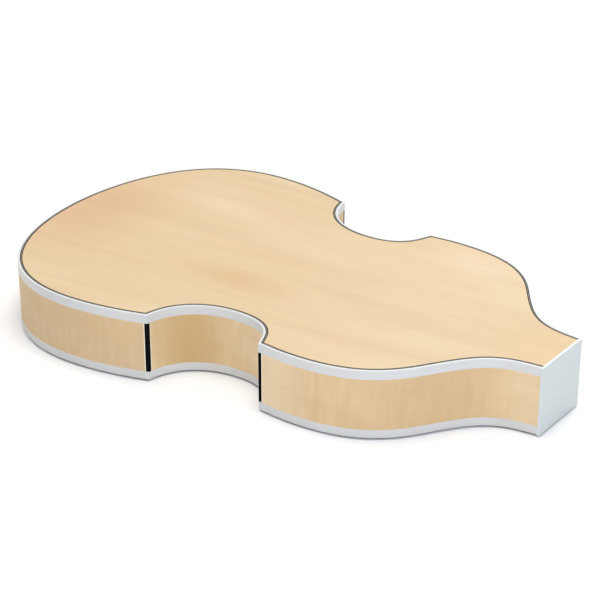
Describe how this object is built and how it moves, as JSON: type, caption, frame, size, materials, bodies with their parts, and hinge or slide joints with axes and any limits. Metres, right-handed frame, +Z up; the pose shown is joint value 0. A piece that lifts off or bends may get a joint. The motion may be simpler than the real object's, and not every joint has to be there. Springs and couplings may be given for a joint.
{
  "type": "hollow body of a violin-shaped string instrument",
  "caption": "Bare hollow wooden sound box with a violin outline, flat back and front, bound edges, corner strips, sound holes and a square neck end.",
  "frame": {"origin": "middle of the body's length and width, under the front, which it lies on", "axes": "+X along the body from the rounded tail to the square neck end, +Y across the body, +Z up from the front through the back"},
  "size_m": [0.4544, 0.28, 0.054],
  "materials": {
    "back_maple": "sanded bare maple",
    "front_spruce": "sanded bare spruce",
    "rib_maple": "sanded bare maple with faint flame across the ribs",
    "white_binding": "scraped and lightly buffed white plastic",
    "purfling_ply": "black, white and black fibre plies",
    "black_corner_strip": "scraped black plastic",
    "white_pinstripe": "scraped off-white plastic",
    "white_end_cap": "sanded white plastic sheet",
    "block_wood": "sawn basswood",
    "spruce_bars_and_linings": "planed spruce"
  },
  "bodies": {
    "root": {"back_plate": "back_maple", "front_plate": "front_spruce", "lower_rib_left": "rib_maple", "lower_rib_right": "rib_maple", "upper_rib_left": "rib_maple", "upper_rib_right": "rib_maple", "waist_rib_left": "rib_maple", "waist_rib_right": "rib_maple", "end_cap": "white_end_cap", "back_brace_lower": "spruce_bars_and_linings", "back_brace_middle": "spruce_bars_and_linings", "back_brace_upper": "spruce_bars_and_linings", "back_lower_binding": "white_binding", "back_lower_lining_left": "spruce_bars_and_linings", "back_lower_lining_right": "spruce_bars_and_linings", "back_lower_purfling": "purfling_ply", "back_upper_binding_left": "white_binding", "back_upper_binding_right": "white_binding", "back_upper_lining_left": "spruce_bars_and_linings", "back_upper_lining_right": "spruce_bars_and_linings", "back_upper_purfling_left": "purfling_ply", "back_upper_purfling_right": "purfling_ply", "back_waist_binding_left": "white_binding", "back_waist_binding_right": "white_binding", "back_waist_lining_left": "spruce_bars_and_linings", "back_waist_lining_right": "spruce_bars_and_linings", "back_waist_purfling_left": "purfling_ply", "back_waist_purfling_right": "purfling_ply", "front_lower_binding": "white_binding", "front_lower_lining_left": "spruce_bars_and_linings", "front_lower_lining_right": "spruce_bars_and_linings", "front_lower_purfling": "purfling_ply", "front_tone_bar_left": "spruce_bars_and_linings", "front_tone_bar_right": "spruce_bars_and_linings", "front_upper_binding_left": "white_binding", "front_upper_binding_right": "white_binding", "front_upper_lining_left": "spruce_bars_and_linings", "front_upper_lining_right": "spruce_bars_and_linings", "front_upper_purfling_left": "purfling_ply", "front_upper_purfling_right": "purfling_ply", "front_waist_binding_left": "white_binding", "front_waist_binding_right": "white_binding", "front_waist_lining_left": "spruce_bars_and_linings", "front_waist_lining_right": "spruce_bars_and_linings", "front_waist_purfling_left": "purfling_ply", "front_waist_purfling_right": "purfling_ply", "lower_corner_block_left": "block_wood", "lower_corner_block_right": "block_wood", "lower_corner_pinstripe_left": "white_pinstripe", "lower_corner_pinstripe_right": "white_pinstripe", "lower_corner_strip_left": "black_corner_strip", "lower_corner_strip_right": "black_corner_strip", "neck_block": "block_wood", "tail_block": "block_wood", "upper_corner_block_left": "block_wood", "upper_corner_block_right": "block_wood", "upper_corner_pinstripe_left": "white_pinstripe", "upper_corner_pinstripe_right": "white_pinstripe", "upper_corner_strip_left": "black_corner_strip", "upper_corner_strip_right": "black_corner_strip"}
  },
  "joints": []
}
